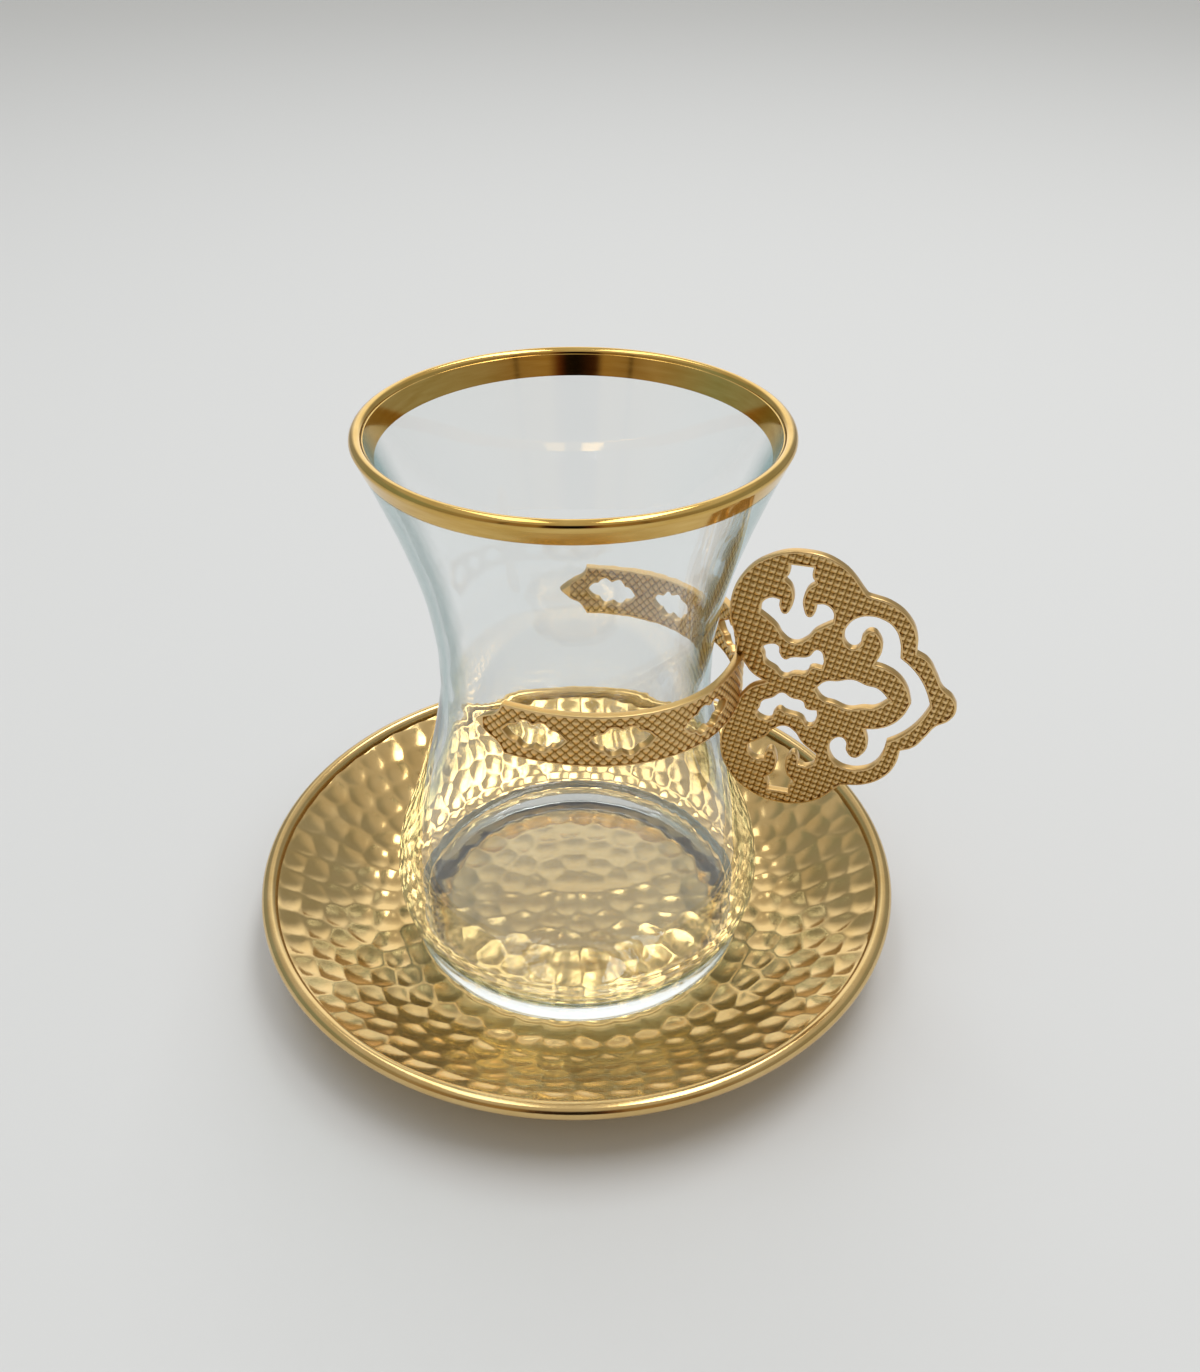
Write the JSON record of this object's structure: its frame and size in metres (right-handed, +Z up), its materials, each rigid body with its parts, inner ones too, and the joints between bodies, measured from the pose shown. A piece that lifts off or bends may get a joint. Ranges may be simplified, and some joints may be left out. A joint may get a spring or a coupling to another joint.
{
  "type": "turkish tea glass",
  "caption": "Empty tulip-shaped clear glass with a gilded rim, in a clip-on pierced metal holder with a flat ornamental handle, on a round hammered metal saucer.",
  "frame": {"origin": "middle of the saucer's flat underside", "axes": "+Z up along the middle of the glass, +X out through the handle plate"},
  "size_m": [0.1174, 0.1134, 0.0964],
  "materials": {
    "glass": "clear, polished, with a fired-on gold film at the rim",
    "holder": "gold-plated casting, knurled faces and smooth edges",
    "saucer": "gold-coloured sheet, hammered and polished"
  },
  "bodies": {
    "root": {"glass": "glass", "holder": "holder", "saucer": "saucer"}
  },
  "joints": []
}
